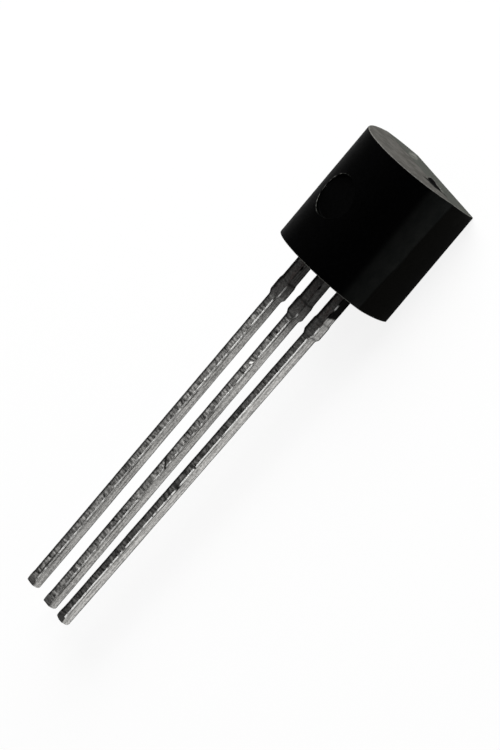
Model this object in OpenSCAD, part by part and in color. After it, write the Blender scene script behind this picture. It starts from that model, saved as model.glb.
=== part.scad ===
// TO-92 transistor: a moulded D-shaped body on three stamped leads.
//
// The part lies on its flat face. +X runs from the lead tips to the head of the
// body, Y runs across the row of leads and +Z points out of the round back. The
// origin is the centre of the flat face. Lengths are millimetres, angles degrees.

/* [Body] */
// Diameter of the round back
body_d = 4.65; // [4.4:0.05:5.2]
// Length of the body along the leads, measured at the parting line
body_len = 4.65; // [4.3:0.05:5.4]
// Height of the round back's axis above the flat face
flat_to_axis = 1.2; // [0.9:0.05:1.5]
// Height of the parting line above the flat face, which is the middle plane of the leads
flat_to_parting = 1.47; // [1.3:0.01:1.7]
// Radius of the two long edges of the flat face
flat_edge_r = 0.05; // [0.02:0.01:0.2]
// Draft of both ends on the round side
back_draft = 1.6; // [0:0.2:6]
// Draft of both ends on the flat side
flat_draft = 2.8; // [0:0.2:8]

/* [Moulding marks] */
// Diameter of the ejector pin's mark on the round back
ejector_d = 1.6; // [0.8:0.1:2]
// Depth of the ejector pin's flat mark at the crown of the back
ejector_depth = 0.17; // [0.15:0.01:0.3]
// Length along the parting line of the scar where the gate broke off the head
gate_len = 1.25; // [0.6:0.05:1.4]
// Width of the gate's scar
gate_w = 0.5; // [0.2:0.05:0.7]
// Depth of the gate's scar at the parting line
gate_depth = 0.08; // [0.04:0.01:0.15]
// Distance of the scar's near end from the middle of the head
gate_offset = 0.35; // [0:0.05:0.5]

/* [Leads] */
// Spacing of the leads
pitch = 1.27; // [1.2:0.01:1.45]
// Length of a lead below the body
lead_len = 14.4; // [6:0.1:20]
// Width of a lead along its long run
lead_w = 0.39; // [0.3:0.01:0.45]
// Thickness of the strip that the leads are stamped from
lead_t = 0.36; // [0.25:0.01:0.45]
// Radius of the leads' long edges
edge_r = 0.06; // [0.02:0.01:0.1]
// Width of a lead between the body and the stub of the cut dam bar
neck_w = 0.52; // [0.46:0.01:0.56]
// Width over the stubs where the dam bar was cut away
stub_w = 0.6; // [0.56:0.01:0.75]
// Distance from the body to the middle of the stubs
stub_at = 1.49; // [1:0.01:3]
// Length of the stubs between the middles of their shoulders
stub_len = 0.61; // [0.4:0.01:1]
// Length of the slope at each end of a stub
shoulder_len = 0.18; // [0.05:0.01:0.3]
// Length of the chamfer on the sheared tips
tip_len = 0.12; // [0.05:0.01:0.3]
// Sideways lean of the emitter lead at its tip, towards the other leads
emitter_lean = 0.38; // [0:0.01:0.5]
// Sideways lean of the other two leads at their tips
row_lean = 0.09; // [-0.2:0.01:0.2]

/* [Inside the body] */
// Thickness of moulding between the die paddle and the head
head_cover = 0.75; // [0.4:0.05:1]
// Length of the die paddle along the leads
paddle_len = 1.3; // [1:0.05:1.5]
// Width of the die paddle
paddle_w = 2.1; // [1.7:0.05:2.3]
// How far the paddle reaches past the middle of the collector lead
paddle_over = 0.3; // [0.26:0.01:0.45]
// Gap between the paddle and the bond posts
post_gap = 0.25; // [0.15:0.01:0.4]
// Width of the bond posts
post_w = 0.74; // [0.6:0.01:0.85]
// Length of the bond posts
post_len = 0.6; // [0.4:0.05:0.7]
// How far the emitter's post reaches past the paddle's lower edge
emitter_reach = 0.5; // [0.3:0.05:0.7]
// Diameter of the hole in the paddle that locks it in the moulding
lock_hole_d = 0.45; // [0.2:0.05:0.6]
// Radius of the notches that lock the leads in the moulding
notch_r = 0.09; // [0.04:0.01:0.12]
// Distance from the body's lower end to the lock notches
notch_at = 0.75; // [0.5:0.05:0.9]
// Side of the square die
die_side = 0.46; // [0.3:0.02:0.6]
// Thickness of the die
die_t = 0.2; // [0.12:0.01:0.3]
// Diameter of the bond wires
wire_d = 0.038; // [0.02:0.001:0.05]
// Height of the bond wires' loops above their balls
loop_h = 0.2; // [0.1:0.02:0.4]

/* [Hidden] */
$fn = 96;

body_r = body_d / 2;
foot_x = -body_len / 2;         // lower end of the body, where the leads leave it
head_x = body_len / 2;          // upper end of the body
past = 1;                       // how far a cutting shape runs past what it cuts
seat_lap = 0.05;                // how far a cutting shape runs on into the piece that it sits on

// Facets of the swept shapes
corner_steps = 3;               // facets round each long edge of a lead
wire_sides = 8;
wire_steps = 14;

// The stamped frame: the middle of each lead and the outline of its inner end
emitter_y = -pitch;
base_y = 0;
collector_y = pitch;
socket_len = 0.2;               // how far a lead's long edges stay round inside the body
socket_lap = 0.1;               // how far the rounded run reaches on into the flat stamping
socket_x = foot_x + socket_len;
notch_x = foot_x + notch_at;
paddle_top = head_x - head_cover;
paddle_low = paddle_top - paddle_len;
paddle_outer_y = collector_y + paddle_over;
paddle_inner_y = paddle_outer_y - paddle_w;
base_top = paddle_low - post_gap;
emitter_top = paddle_low + emitter_reach;
post_shoulder = 0.12;           // length of the slope from a neck to its post
frame_low = flat_to_parting - lead_t / 2;
frame_top = flat_to_parting + lead_t / 2;
lock_margin = 0.14;             // metal left between the lock hole and the paddle's edges

// The die sits in the corner of the paddle that both posts look at
die_margin = 0.3;
die_x = paddle_low + die_margin + die_side / 2;
die_y = paddle_inner_y + die_margin + die_side / 2;
die_top = frame_top + die_t;
pad_inset = 0.12;               // distance of the bond pads from the die's edges

// The bond wires: a ball on the die, a loop and a flattened stitch on the post
wire_r = wire_d / 2;
ball_r = 2.4 * wire_r;
ball_h = 1.2 * wire_r;
stitch_flat = 0.5;              // thickness of the stitch as a share of the wire's
stitch_len = wire_d;            // length of the stitch past the loop's end
landing_run = 0.35;             // length over which the loop comes down flat
flatten_from = 0.8;             // share of the loop after which the wire flattens
crest = 1 / 3;                  // share of the loop at which it is highest
base_pad = [die_x - die_side / 2 + pad_inset, die_y + die_side / 2 - pad_inset];
emitter_pad = [die_x + die_side / 2 - pad_inset, die_y - die_side / 2 + pad_inset];
base_land = [base_top - post_len / 2, base_y];
emitter_land = [emitter_top - post_len / 2, emitter_y];

// ---- Moulded body -------------------------------------------------------

// Cross-section of the body in [y, z]: a circle cut off by the flat face, with a small
// arc at each corner that is tangent to both
module d_section() {
    arc_y = sqrt(pow(body_r - flat_edge_r, 2) - pow(flat_to_axis - flat_edge_r, 2));
    tangent_y = arc_y * body_r / (body_r - flat_edge_r);
    tangent_z = flat_to_axis - (flat_to_axis - flat_edge_r) * body_r / (body_r - flat_edge_r);
    intersection() {
        translate([0, flat_to_axis]) circle(r = body_r);
        translate([-body_r - past, tangent_z])
            square([body_d + 2 * past, flat_to_axis + body_r + past]);
    }
    polygon([[-arc_y, 0], [arc_y, 0], [tangent_y, tangent_z], [-tangent_y, tangent_z]]);
    for (side = [-1, 1]) translate([side * arc_y, flat_edge_r]) circle(r = flat_edge_r);
}

// Side view of the body in [x, z]: both ends lean in from the parting line
module side_section() {
    rise = flat_to_axis + body_r + past - flat_to_parting;
    drop = flat_to_parting + past;
    back_in = rise * tan(back_draft);
    flat_in = drop * tan(flat_draft);
    polygon([
        [foot_x, flat_to_parting],
        [foot_x + flat_in, flat_to_parting - drop],
        [head_x - flat_in, flat_to_parting - drop],
        [head_x, flat_to_parting],
        [head_x - back_in, flat_to_parting + rise],
        [foot_x + back_in, flat_to_parting + rise]
    ]);
}

// The shape of the mould's cavity
module moulding() {
    intersection() {
        translate([foot_x - past, 0, 0])
            rotate([90, 0, 90]) linear_extrude(body_len + 2 * past) d_section();
        translate([0, body_r + past, 0])
            rotate([90, 0, 0]) linear_extrude(body_d + 2 * past) side_section();
    }
}

// Round recess left by the flat end of the ejector pin, which stood a little into the
// curved back: deep at the crown and nearly flush at the sides
module ejector_mark() {
    translate([0, 0, flat_to_axis + body_r - ejector_depth])
        cylinder(d = ejector_d, h = ejector_depth + past);
}

// Chipped scar of the gate on the head, along the parting line. Its floor is deepest
// on the round side and rises to the surface towards the flat face.
module gate_scar() {
    translate([head_x - gate_depth, -gate_offset, flat_to_parting])
        rotate([0, -atan2(gate_depth, gate_w), 0])
            rotate([90, 0, 90]) linear_extrude(gate_depth + past) polygon([
                [0, -0.7 * gate_w],
                [-0.27 * gate_len, 0.15 * gate_w],
                [-0.46 * gate_len, 0.4 * gate_w],
                [-gate_len, -0.15 * gate_w],
                [-0.95 * gate_len, -0.35 * gate_w],
                [-0.66 * gate_len, -0.58 * gate_w],
                [-0.35 * gate_len, -0.74 * gate_w],
                [-0.05 * gate_len, -gate_w]
            ]);
}

module moulded_body() {
    color([0.05, 0.05, 0.055])
        difference() {
            moulding();
            ejector_mark();
            gate_scar();
            emitter_lead();
            base_lead();
            collector_lead();
            die(seat_lap);
            base_wire(seat_lap);
            emitter_wire(seat_lap);
        }
}

// ---- Leads --------------------------------------------------------------

// Rounded rectangle round the point at, in a plane of constant x
function lead_ring(at, w, t, r) = [
    for (q = [0:3], k = [0:corner_steps])
        let (turn = 90 * (q + k / corner_steps),
             side_y = (q == 0 || q == 3) ? 1 : -1,
             side_z = (q < 2) ? 1 : -1)
        [at[0],
         at[1] + side_y * (w / 2 - r) + r * cos(turn),
         at[2] + side_z * (t / 2 - r) + r * sin(turn)]
];

// Closed skin over a row of rings that all have the same number of points
module skin(rings) {
    n = len(rings[0]);
    last = len(rings) - 1;
    polyhedron(
        points = [for (ring = rings) each ring],
        faces = concat(
            [[for (k = [n - 1:-1:0]) k]],
            [for (i = [0:last - 1], k = [0:n - 1])
                let (a = i * n + k, b = i * n + (k + 1) % n)
                each [[a, b, a + n], [b, b + n, a + n]]],
            [[for (k = [0:n - 1]) last * n + k]]
        )
    );
}

// The run outside the body: neck, dam bar stub, long lead and sheared tip. Each
// station is [distance below the body, width, thickness].
module lead_run(y, lean) {
    stub_near = stub_at - stub_len / 2;
    stub_far = stub_at + stub_len / 2;
    half_slope = shoulder_len / 2;
    tip_w = lead_w - edge_r;
    tip_t = lead_t - edge_r;
    stations = [
        [-socket_len - socket_lap, neck_w, lead_t],
        [stub_near - half_slope, neck_w, lead_t],
        [stub_near + half_slope, stub_w, lead_t],
        [stub_far - half_slope, stub_w, lead_t],
        [stub_far + half_slope, lead_w, lead_t],
        [lead_len - tip_len, lead_w, lead_t],
        [lead_len, tip_w, tip_t]
    ];
    skin([for (s = stations)
        let (sway = lean * max(s[0], 0) / lead_len)
        lead_ring([foot_x - s[0], y + sway, flat_to_parting], s[1], s[2], edge_r)]);
}

// A flat stamping of the strip's thickness from a [x, y] outline
module stamping() {
    translate([0, 0, frame_low]) linear_extrude(lead_t) children();
}

// Half-round notches in both edges of a neck
module lock_notches(y) {
    for (side = [-1, 1])
        translate([notch_x, y + side * neck_w / 2]) circle(r = notch_r);
}

// A straight lead inside the body that widens into a bond post
module post_outline(y, top) {
    low = top - post_len;
    difference() {
        polygon([
            [socket_x, y - neck_w / 2],
            [low - post_shoulder, y - neck_w / 2],
            [low, y - post_w / 2],
            [top, y - post_w / 2],
            [top, y + post_w / 2],
            [low, y + post_w / 2],
            [low - post_shoulder, y + neck_w / 2],
            [socket_x, y + neck_w / 2]
        ]);
        lock_notches(y);
    }
}

// The collector's inner end: its neck and the paddle that carries the die
module paddle_outline() {
    lock_r = lock_hole_d / 2;
    difference() {
        polygon([
            [socket_x, collector_y - neck_w / 2],
            [paddle_low, collector_y - neck_w / 2],
            [paddle_low, paddle_inner_y],
            [paddle_top, paddle_inner_y],
            [paddle_top, paddle_outer_y],
            [paddle_low, paddle_outer_y],
            [paddle_low - post_shoulder, collector_y + neck_w / 2],
            [socket_x, collector_y + neck_w / 2]
        ]);
        lock_notches(collector_y);
        translate([paddle_top - lock_margin - lock_r, paddle_outer_y - lock_margin - lock_r])
            circle(r = lock_r);
    }
}

module emitter_lead() {
    color([0.66, 0.66, 0.64]) union() {
        lead_run(emitter_y, emitter_lean);
        stamping() post_outline(emitter_y, emitter_top);
    }
}

module base_lead() {
    color([0.66, 0.66, 0.64]) union() {
        lead_run(base_y, row_lean);
        stamping() post_outline(base_y, base_top);
    }
}

module collector_lead() {
    color([0.66, 0.66, 0.64]) union() {
        lead_run(collector_y, row_lean);
        stamping() paddle_outline();
    }
}

// ---- Die and bond wires -------------------------------------------------

// The die, and with a lap the shape that cuts its place in the moulding
module die(lap = 0) {
    color([0.35, 0.37, 0.42])
        translate([die_x - die_side / 2, die_y - die_side / 2, frame_top - lap])
            cube([die_side, die_side, die_t + lap]);
}

// Point and slope of a cubic curve through four control points
function curve(p, t) = pow(1 - t, 3) * p[0] + 3 * t * pow(1 - t, 2) * p[1]
                     + 3 * t * t * (1 - t) * p[2] + pow(t, 3) * p[3];
function slope(p, t) = 3 * pow(1 - t, 2) * (p[1] - p[0])
                     + 6 * t * (1 - t) * (p[2] - p[1]) + 3 * t * t * (p[3] - p[2]);

// A ring in the wire's upright plane: at is [run, height], tip is the slope there,
// ahead is the wire's direction in [x, y], r and flat are its radius and flattening.
function wire_ring(from, ahead, at, tip, r, flat) = [
    for (k = [0:wire_sides - 1])
        let (turn = 360 * (k + 0.5) / wire_sides,
             long = norm(tip),
             out = r * flat * cos(turn) / cos(180 / wire_sides),
             side = r * sin(turn) / cos(180 / wire_sides),
             run = at[0] - out * tip[1] / long,
             height = at[1] + out * tip[0] / long)
        [from[0] + ahead[0] * run - ahead[1] * side,
         from[1] + ahead[1] * run + ahead[0] * side,
         height]
];

// A wire from a pad on the die to the landing place on a post. The loop starts on the
// ball's cone, and its second control point is raised so far that it rises by loop_h.
// A lap lengthens the ball down into the die.
module bond_wire(from, to, lap) {
    reach = norm(to - from);
    ahead = (to - from) / reach;
    start_z = die_top + 2 * ball_h;
    landing_z = frame_top + wire_r * stitch_flat;
    raised_share = curve([0, 1, 0, 0], crest);
    landed_share = curve([0, 0, 1, 1], crest);
    raise = (loop_h + landed_share * (start_z - landing_z)) / raised_share;
    path = [
        [0, start_z],
        [0, start_z + raise],
        [reach - landing_run, landing_z],
        [reach, landing_z]
    ];
    up = [0, 1];
    ball = [
        wire_ring(from, ahead, [0, die_top - lap], up, ball_r, 1),
        wire_ring(from, ahead, [0, die_top + ball_h], up, ball_r, 1)
    ];
    loop = [for (i = [0:wire_steps])
        let (t = i / wire_steps,
             flattened = max(0, (t - flatten_from) / (1 - flatten_from)),
             thickness = 1 - (1 - stitch_flat) * flattened)
        wire_ring(from, ahead, curve(path, t), slope(path, t), wire_r, thickness)];
    stitch = [
        wire_ring(from, ahead, [reach + stitch_len, landing_z], [1, 0], wire_r, stitch_flat)
    ];
    skin(concat(ball, loop, stitch));
}

module base_wire(lap = 0) {
    color([0.85, 0.65, 0.25]) bond_wire(base_pad, base_land, lap);
}

module emitter_wire(lap = 0) {
    color([0.85, 0.65, 0.25]) bond_wire(emitter_pad, emitter_land, lap);
}

moulded_body();
emitter_lead();
base_lead();
collector_lead();
die();
base_wire();
emitter_wire();
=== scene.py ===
"""A TO-92 transistor that lies on its flat face on a pale floor."""

import math
from collections import namedtuple
from functools import cached_property

import bmesh
import bpy
import numpy as np
from mathutils import Matrix, Vector, noise


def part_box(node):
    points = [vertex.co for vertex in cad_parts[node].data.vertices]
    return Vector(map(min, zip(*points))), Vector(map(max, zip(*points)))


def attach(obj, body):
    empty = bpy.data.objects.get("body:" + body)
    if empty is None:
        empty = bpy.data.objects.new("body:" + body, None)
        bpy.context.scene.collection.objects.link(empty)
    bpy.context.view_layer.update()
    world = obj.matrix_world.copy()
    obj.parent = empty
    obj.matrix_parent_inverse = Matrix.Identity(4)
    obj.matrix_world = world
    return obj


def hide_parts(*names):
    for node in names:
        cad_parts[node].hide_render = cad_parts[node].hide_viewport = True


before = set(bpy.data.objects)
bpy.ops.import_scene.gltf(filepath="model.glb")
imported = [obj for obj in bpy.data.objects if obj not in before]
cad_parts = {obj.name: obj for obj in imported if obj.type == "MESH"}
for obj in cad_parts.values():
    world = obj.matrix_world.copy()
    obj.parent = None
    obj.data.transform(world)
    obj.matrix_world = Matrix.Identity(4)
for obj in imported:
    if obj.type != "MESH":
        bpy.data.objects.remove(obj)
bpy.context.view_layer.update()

MM = 0.001                              # every size below is in millimetres
PER_METRE = 1000.0


def box_mm(node):
    """Lowest and highest corner of a CAD node, in millimetres."""
    low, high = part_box(node)
    return low * PER_METRE, high * PER_METRE


# ---- Sizes that come from the frame --------------------------------------

BODY_LOW, BODY_HIGH = box_mm("moulded_body")
BASE_LOW, BASE_HIGH = box_mm("base_lead")

BODY_R = (BODY_HIGH.y - BODY_LOW.y) / 2
AXIS_Z = BODY_HIGH.z - BODY_R           # height of the round back's axis
FOOT_X = BODY_LOW.x                     # end of the body that the leads leave
HEAD_X = BODY_HIGH.x                    # far end of the body
PARTING_Z = (BASE_LOW.z + BASE_HIGH.z) / 2
LEAD_T = BASE_HIGH.z - BASE_LOW.z
LEAD_LEN = FOOT_X - BASE_LOW.x

# ---- Sizes of the moulding -----------------------------------------------

BACK_DRAFT = math.radians(1.6)
FLAT_DRAFT = math.radians(2.8)
FLAT_EDGE_R = 0.05                      # long edges of the flat face
RIM_R = 0.04                            # edges of both ends
FLASH_H = 0.008                         # witness of the parting line
FLASH_W = 0.014
RIPPLE = 0.0015                         # slow unevenness of the moulding
SIDE_ROWS = 94                          # rings of points from the foot to the head

EJECTOR_R = 0.8                         # the mark lies in the middle of the crown
EJECTOR_DEPTH = 0.17                    # below the crown, down to a flat floor
EJECTOR_PATCH = 0.24                    # the mark's own rings fill the side this far round it

GATE_LEN = 1.25                         # the scar of the broken gate, on the head
GATE_W = 0.5
GATE_DEPTH = 0.08
GATE_OFFSET = 0.35                      # from the middle of the head to the scar
GATE_MIDDLE = (-0.95, -0.06)            # a point that sees the whole scar, [y, above the parting line]
GATE_LIP_ROUGH = 0.10                   # raggedness of the lip, as a share of its distance
GATE_FLOOR_ROUGH = 0.022                # raggedness of the floor's depth
GATE_LEAST_DEPTH = 0.004
SHADE_REACH = 0.34                       # how far painted shade reaches beside the scar, on one side
SHADE_ROUGH = 0.35                       # raggedness of its border, as a share of that reach
SHADE_SIDE = (-0.738, 0.675)             # the way to that side, in [y, z]

PATCH_MIDDLE = (HEAD_X, 1.34, 0.76)     # pale patch on the head
PATCH_ALONG = (0, 0.738, -0.675)
PATCH_ACROSS = (0, 0.675, 0.738)
PATCH_LEN = 0.62
PATCH_W = 0.17

# ---- Sizes of the leads --------------------------------------------------

PITCH = 1.27
LEAD_W = 0.39
NECK_W = 0.52                           # between the body and the stubs
STUB_W = 0.6                            # across the stubs of the cut dam bar
STUB_AT = 1.49                          # middle of the stubs below the body
STUB_LEN = 0.61
SHOULDER = 0.18                         # length of the slopes at both ends of the stubs
EDGE_R = 0.035
WANDER = 0.008                          # how far a lead strays from a straight line
WAVE = 0.005                            # unevenness of its width

LINE_W = 0.010                          # painted highlight line beside a long edge, where its shine is 1
LINE_H = 0.003
HATCH_H = 0.0045                        # cross scratches of the wide faces
BLOT_H = 0.002
PIT_H = 0.004
STREAK_H = 0.0015                       # lines drawn along the sheared sides
GROOVE_IN = 0.022                       # from the edge with that line to the groove beside it
GROOVE_W = 0.026
GROOVE_H = 0.010
NICK_H = 0.010
BRIGHT_H = 0.006                        # a painted glint stands proud

TIP_FLARE = 0.03                        # how far the far side flares out at the tip
TIP_FLARE_LEN = (0.5, 0.1)              # where that starts and where it is full, above the end
TIP_CLOSING = 0.03                      # share by which the very end narrows again
TIP_CLOSING_LEN = 0.07
TIP_CUT_LEN = 0.2                       # stretch over which the tip's corners draw back
FACET_LEN = 0.27                        # smooth facet at the tip of the wide face
FACET_SKEW = 0.07                       # how much shorter it is on the near side
FACET_BLUR = 0.02
FACET_DROP = 0.02

SOCKET = 0.17                           # how far a lead's run reaches into the body
BRIDGE = 0.03                           # from there to the CAD lead's inner part
ROW_STEP = 0.026                        # between rings of points along the run
TIP_LEN = 0.3                           # stretch with closer rings at the tip
TIP_ROWS = 24


# ---- Meshes --------------------------------------------------------------

def smooth_step(low, high, value):
    """0 below low, 1 above high and a smooth slope between them; low may be the larger one."""
    t = np.clip((np.asarray(value, float) - low) / (high - low), 0.0, 1.0)
    return t * t * (3 - 2 * t)


def bell(value, middle, width, power=2):
    """1 at the middle, and next to nothing at two widths from it."""
    return math.exp(-abs((value - middle) / width) ** power)


def rough(x, y, z, scale, seed, octaves=2):
    """Seeded noise of about -1 to 1 at a point, with about scale features to a millimetre."""
    point = Vector((x * scale + 17.3 * seed, y * scale - 9.1 * seed, z * scale + 3.7 * seed))
    return noise.fractal(point, 1.0, 2.0, octaves)


def add_piece(name, skin, replaced):
    """A closed mesh of points in millimetres that stands for a CAD node."""
    mesh = bpy.data.meshes.new(name)
    mesh.from_pydata([tuple(c * MM for c in p) for p in skin.points], [], skin.faces)
    work = bmesh.new()
    work.from_mesh(mesh)
    bmesh.ops.recalc_face_normals(work, faces=work.faces)
    work.to_mesh(mesh)
    work.free()
    mesh.shade_smooth()
    for label, values in skin.marks.items():
        mesh.attributes.new(label, "FLOAT", "POINT").data.foreach_set("value", values)
    piece = bpy.data.objects.new(name, mesh)
    bpy.context.scene.collection.objects.link(piece)
    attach(piece, "root")
    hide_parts(replaced)
    return piece


class Skin:
    """Points, faces and marks: numbers from 0 to 1 at each point that the materials read."""

    def __init__(self, *labels):
        self.points = []
        self.faces = []
        self.marks = {label: [] for label in labels}

    def add_points(self, points, **marks):
        """Adds points with their marks, 0 where none is given, and returns the first's number."""
        first = len(self.points)
        self.points.extend(tuple(p) for p in points)
        for label, values in self.marks.items():
            given = marks.get(label, 0.0)
            values.extend(np.broadcast_to(np.asarray(given, float), len(points)).tolist())
        return first


def strip(first, second):
    """Quads between two closed rings of vertex numbers."""
    after_first = first[1:] + first[:1]
    after_second = second[1:] + second[:1]
    return list(zip(first, after_first, after_second, second))


# ---- Moulded body --------------------------------------------------------

def end_in(z):
    """How far an end of the body leans in from the parting line at a height."""
    z = np.asarray(z, float)
    above = np.maximum(z - PARTING_Z, 0) * math.tan(BACK_DRAFT)
    below = np.maximum(PARTING_Z - z, 0) * math.tan(FLAT_DRAFT)
    return above + below


def body_outline():
    """Points and outward normals round the body's section, in [y, z]."""
    back_points, flat_points, corner_points = 215, 30, 8
    fine_places = np.array([-3.5, -2, -1.2, -0.6, 0, 0.6, 1.2, 2, 3.5])     # in flash widths
    fine_reach = 4.5

    inner_r = BODY_R - FLAT_EDGE_R
    drop = AXIS_Z - FLAT_EDGE_R
    arc_y = math.sqrt(inner_r ** 2 - drop ** 2)
    low_turn = -math.asin(drop / inner_r)           # where the round back meets the edge's arc
    parting_turn = math.asin((PARTING_Z - AXIS_Z) / BODY_R)
    turns = np.linspace(low_turn, math.pi - low_turn, back_points)
    for turn in (parting_turn, math.pi - parting_turn):
        turns = turns[np.abs(turns - turn) > fine_reach * FLASH_W / BODY_R]
        turns = np.sort(np.append(turns, turn + fine_places * FLASH_W / BODY_R))
    flat = np.linspace(0, arc_y, flat_points)
    corner = np.linspace(-math.pi / 2, low_turn, corner_points)[1:-1]

    points, normals = [], []

    def add(y, z, radius, normal_y, normal_z):
        points.append((y + radius * normal_y, z + radius * normal_z))
        normals.append((normal_y, normal_z))

    for y in flat:
        add(y, 0, 0, 0, -1)
    for turn in corner:
        add(arc_y, FLAT_EDGE_R, FLAT_EDGE_R, math.cos(turn), math.sin(turn))
    for turn in turns:
        add(0, AXIS_Z, BODY_R, math.cos(turn), math.sin(turn))
    for turn in corner[::-1]:
        add(-arc_y, FLAT_EDGE_R, FLAT_EDGE_R, -math.cos(turn), math.sin(turn))
    for y in flat[:0:-1]:
        add(-y, 0, 0, 0, -1)
    return np.array(points), np.array(normals)


def side_ripple(x, y, z):
    """How far the moulding stands proud at a point of its side."""
    slow = RIPPLE * rough(x, y, z, scale=0.7, seed=1)
    if z <= FLAT_EDGE_R or abs(y) <= BODY_R / 2:
        return slow
    uneven = 0.7 + 0.5 * rough(x, y, z, scale=1.5, seed=2)
    return slow + FLASH_H * bell(z, PARTING_Z, FLASH_W) * uneven


def gate_outline():
    """The scar's outline on the head, in [y, z]."""
    corners = ((0, -0.7), (-0.27, 0.15), (-0.46, 0.4), (-1, -0.15),         # shares of its length
               (-0.95, -0.35), (-0.66, -0.58), (-0.35, -0.74), (-0.05, -1))     # and of its width
    return np.array([(u * GATE_LEN - GATE_OFFSET, v * GATE_W + PARTING_Z) for u, v in corners])


def reach_to(outline, centre, direction):
    """Distance from centre to a closed outline in a direction."""
    tiny = 1e-9
    best = 0.0
    for start, end in zip(outline, np.roll(outline, -1, axis=0)):
        edge = end - start
        cross = direction[0] * edge[1] - direction[1] * edge[0]
        if abs(cross) < tiny:
            continue
        rel = start - centre
        along = (rel[0] * edge[1] - rel[1] * edge[0]) / cross
        share = (rel[0] * direction[1] - rel[1] * direction[0]) / cross
        if along > 0 and -tiny <= share <= 1 + tiny:
            best = max(best, along)
    return best


class BodyRings:
    """Rings round the moulding, from its foot over its side to its head."""

    def __init__(self):
        self.outline, self.normals = body_outline()
        self.face_edge = self.outline - self.normals * RIM_R    # where the rounded rim meets an end

    def on_end(self, flat, end):
        """Points of [y, z] set on the head (end 1) or on the foot (end -1)."""
        lean = end_in(flat[:, 1])
        x = HEAD_X - lean if end > 0 else FOOT_X + lean
        return np.column_stack([x, flat])

    def rim(self, turn, end):
        """A ring on the rounded rim: turn 0 is on the side and 90 degrees on the end face."""
        flat = self.outline - self.normals * RIM_R * (1 - math.cos(turn))
        ring = self.on_end(flat, end)
        ring[:, 0] -= end * RIM_R * (1 - math.sin(turn))
        return ring

    def side(self, share):
        """A ring on the side, share of the way from the foot to the head."""
        foot = self.rim(0, -1)
        head = self.rim(0, 1)
        ring = foot + (head - foot) * share
        fade = min(1.0, 12 * min(share, 1 - share))             # the ripple ends before the rims
        for k, (x, y, z) in enumerate(ring):
            ring[k, 1:] += self.normals[k] * fade * side_ripple(x, y, z)
        return ring


def add_head(skin, rings, shapes):
    """Rings over the head face to the lip of the gate's scar, and down to its floor."""
    face_rows, closer_to_lip = 44, 0.85
    floor_shares = (0.985, 0.94, 0.88, 0.81, 0.73, 0.64, 0.54, 0.43, 0.31, 0.18, 0.07)

    middle = np.array([GATE_MIDDLE[0], PARTING_Z + GATE_MIDDLE[1]])
    scar = gate_outline()
    face_edge = shapes.face_edge
    lip = np.empty_like(face_edge)
    for k, point in enumerate(face_edge):
        direction = (point - middle) / np.linalg.norm(point - middle)
        reach = reach_to(scar, middle, direction)
        reach *= 1 + GATE_LIP_ROUGH * rough(direction[0], direction[1], 0, scale=4, seed=5, octaves=3)
        lip[k] = middle + direction * reach

    out = (lip - middle) / np.linalg.norm(lip - middle, axis=1)[:, None]
    # Painted shade beside the scar on one side, marked as scar
    shade_side = smooth_step(0.35, 0.9, out @ np.array(SHADE_SIDE))
    ragged = np.array([1 + SHADE_ROUGH * rough(y, z, 0, scale=2.5, seed=7) for y, z in out])
    for share in np.linspace(0, 1, face_rows)[1:] ** closer_to_lip:
        flat = face_edge + (lip - face_edge) * share
        away = np.linalg.norm(flat - lip, axis=1) / (SHADE_REACH * ragged)
        beside_shade = shade_side * smooth_step(1.1, 0.55, away)
        rings.append(skin.add_points(shapes.on_end(flat, 1), scar=np.clip(beside_shade, 0, 1)))

    # The scar's floor is marked for painted shade
    for share in floor_shares:
        ring = shapes.on_end(middle + (lip - middle) * share, 1)
        for k, (x, y, z) in enumerate(ring):
            depth = GATE_DEPTH * (1 + (z - PARTING_Z) / GATE_W)
            depth += GATE_FLOOR_ROUGH * rough(x, y, z, scale=7, seed=6, octaves=3)
            ring[k, 0] -= max(GATE_LEAST_DEPTH, depth)
        rings.append(skin.add_points(ring, scar=1.0))


def add_ejector(skin, loop):
    """Rings from a loop on the round back in to the ejector pin's mark and its flat floor."""
    collar = 0.06                           # the rings are round from this far outside the mark
    # Out from the radius, share of the way down to the floor, and painted highlight
    edge_profile = ((0.030, 0.0, 0.0), (0.018, 0.0, 0.5), (0.008, 0.0, 1), (0.002, 0.03, 0.8),
                    (0.0, 0.08, 0.2), (-0.001, 0.15, 0), (-0.003, 0.85, 0), (-0.008, 1, 0))
    floor_shares = (0.95, 0.88, 0.8, 0.7, 0.6, 0.5, 0.4, 0.3, 0.2, 0.1)

    edge = np.array([skin.points[v][:2] for v in loop])
    towards = edge / np.linalg.norm(edge, axis=1)[:, None]
    highlit_side = smooth_step(-0.12, 0.6, towards[:, 1])           # the edge carries a painted highlight on this side only
    floor_z = BODY_HIGH.z - EJECTOR_DEPTH

    def ring_at(flat, sunk):
        """A ring on the round back that is sunk by a share of the way to the floor."""
        ring = []
        for x, y in flat:
            z = AXIS_Z + math.sqrt(BODY_R ** 2 - y * y)
            z += side_ripple(x, y, z)
            ring.append((x, y, z + (floor_z - z) * sunk))
        return ring

    outer = towards * (EJECTOR_R + collar)
    steps = [(edge + (outer - edge) * share, 0.0, 0.0) for share in (0.2, 0.4, 0.6, 0.8, 1)]
    steps += [(towards * (EJECTOR_R + out), sunk, matt_or_painted) for out, sunk, matt_or_painted in edge_profile]
    steps += [(towards * EJECTOR_R * share, 1.0, 0.0) for share in floor_shares]
    previous = list(loop)
    for flat, sunk, matt_or_painted in steps:
        patchy = np.array([0.5 + 1.9 * rough(x, y, 0, scale=7, seed=9, octaves=3) for x, y in flat])
        first = skin.add_points(ring_at(flat, sunk), lip=np.clip(matt_or_painted * highlit_side * patchy, 0, 1))
        current = [first + k for k in range(len(loop))]
        skin.faces += strip(previous, current)
        previous = current
    skin.faces.append(tuple(previous))


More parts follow.
